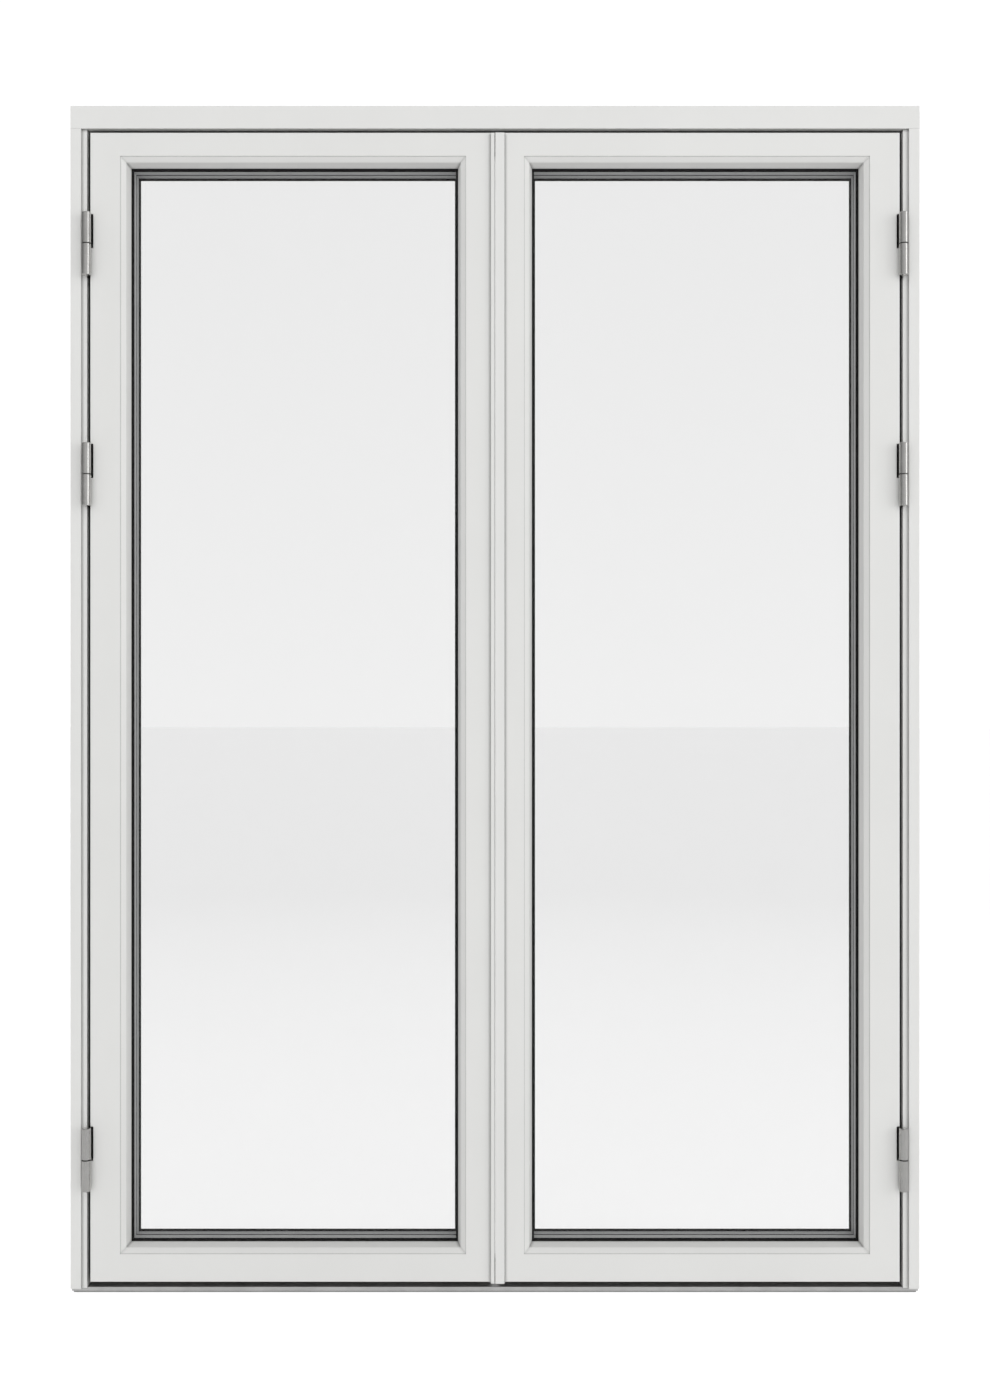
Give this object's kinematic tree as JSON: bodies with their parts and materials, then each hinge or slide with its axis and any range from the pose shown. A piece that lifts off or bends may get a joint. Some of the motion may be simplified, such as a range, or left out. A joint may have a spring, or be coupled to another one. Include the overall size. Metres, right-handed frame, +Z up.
{
  "type": "french doors",
  "caption": "Outward-opening glazed balcony doors in their frame: timber leaves clad in white aluminium, sealed glass units, lift-off hinges, threshold, lock and inside handle.",
  "frame": {"origin": "on the underside of the threshold, in the middle of its length and of the frame's depth", "axes": "+Z up, +X to the right as seen from outside, +Y from outside to inside"},
  "size_m": [1.49, 0.17, 2.09],
  "materials": {
    "powder_coated_aluminium": "satin white powder coat",
    "painted_timber": "white painted pine",
    "anodised_aluminium": "natural anodised",
    "hinge_steel": "satin zinc plated",
    "lock_steel": "zinc plated",
    "handle_metal": "satin brushed",
    "black_seal": "matt",
    "packer_plastic": "matt",
    "spacer_grey": "matt grey warm-edge",
    "glass": "clear, polished"
  },
  "bodies": {
    "root": {"frame_head": "painted_timber", "left_jamb": "painted_timber", "right_jamb": "painted_timber", "threshold_core": "painted_timber", "threshold_cover": "anodised_aluminium", "head_cladding": "powder_coated_aluminium", "left_jamb_cladding": "powder_coated_aluminium", "right_jamb_cladding": "powder_coated_aluminium", "frame_seal": "black_seal", "left_frame_hinges": "hinge_steel", "right_frame_hinges": "hinge_steel", "hinge_pins": "hinge_steel", "bolt_keeps": "lock_steel"},
    "left_leaf": {"left_hinge_stile": "painted_timber", "left_meeting_stile": "painted_timber", "left_top_rail": "painted_timber", "left_bottom_rail": "painted_timber", "left_hinge_side_cladding": "powder_coated_aluminium", "left_meeting_side_cladding": "powder_coated_aluminium", "left_top_cladding": "powder_coated_aluminium", "left_bottom_cladding": "powder_coated_aluminium", "left_outer_glazing_seal": "black_seal", "left_inner_glazing_seal": "black_seal", "left_outer_pane": "glass", "left_middle_pane": "glass", "left_inner_pane": "glass", "left_spacer_bars": "spacer_grey", "left_edge_sealant": "black_seal", "left_setting_blocks": "packer_plastic", "left_leaf_hinges": "hinge_steel", "left_meeting_strip": "powder_coated_aluminium", "left_meeting_seal": "black_seal", "flush_bolt_plates": "lock_steel"},
    "upper_flush_bolt_body": {"upper_flush_bolt": "lock_steel"},
    "lower_flush_bolt_body": {"lower_flush_bolt": "lock_steel"},
    "right_leaf": {"right_hinge_stile": "painted_timber", "right_meeting_stile": "painted_timber", "right_top_rail": "painted_timber", "right_bottom_rail": "painted_timber", "right_hinge_side_cladding": "powder_coated_aluminium", "right_meeting_side_cladding": "powder_coated_aluminium", "right_top_cladding": "powder_coated_aluminium", "right_bottom_cladding": "powder_coated_aluminium", "right_outer_glazing_seal": "black_seal", "right_inner_glazing_seal": "black_seal", "right_outer_pane": "glass", "right_middle_pane": "glass", "right_inner_pane": "glass", "right_spacer_bars": "spacer_grey", "right_edge_sealant": "black_seal", "right_setting_blocks": "packer_plastic", "right_leaf_hinges": "hinge_steel", "right_meeting_strip": "powder_coated_aluminium", "right_meeting_seal": "black_seal", "lock_faceplate": "lock_steel", "lock_case": "lock_steel", "handle_rose": "handle_metal"},
    "upper_rod_body": {"upper_lock_rod": "lock_steel"},
    "lower_rod_body": {"lower_lock_rod": "lock_steel"},
    "handle_body": {"handle": "handle_metal"}
  },
  "joints": [
    {"name": "left_leaf_swing", "type": "hinge", "parent": "root", "child": "left_leaf", "pos_m": [-0.7143, -0.0695, 0], "axis": [0, 0, -1], "range_deg": [0, 170]},
    {"name": "right_leaf_swing", "type": "hinge", "parent": "root", "child": "right_leaf", "pos_m": [0.7143, -0.0695, 0], "axis": [0, 0, 1], "range_deg": [0, 170]},
    {"name": "handle_turn", "type": "hinge", "parent": "right_leaf", "child": "handle_body", "pos_m": [0.0367, 0, 1.05], "axis": [0, 1, 0], "range_deg": [0, 180]},
    {"name": "upper_rod_slide", "type": "slide", "parent": "right_leaf", "child": "upper_rod_body", "axis": [0, 0, 1], "range_m": [0, 0.022]},
    {"name": "lower_rod_slide", "type": "slide", "parent": "right_leaf", "child": "lower_rod_body", "axis": [0, 0, -1], "range_m": [0, 0.022]},
    {"name": "upper_flush_bolt_slide", "type": "slide", "parent": "left_leaf", "child": "upper_flush_bolt_body", "axis": [0, 0, 1], "range_m": [0, 0.022]},
    {"name": "lower_flush_bolt_slide", "type": "slide", "parent": "left_leaf", "child": "lower_flush_bolt_body", "axis": [0, 0, -1], "range_m": [0, 0.022]}
  ],
  "couplings": [
    {"joint": "upper_rod_slide", "follows": "handle_turn", "m_per_rad": 0.007},
    {"joint": "lower_rod_slide", "follows": "handle_turn", "m_per_rad": 0.007}
  ]
}
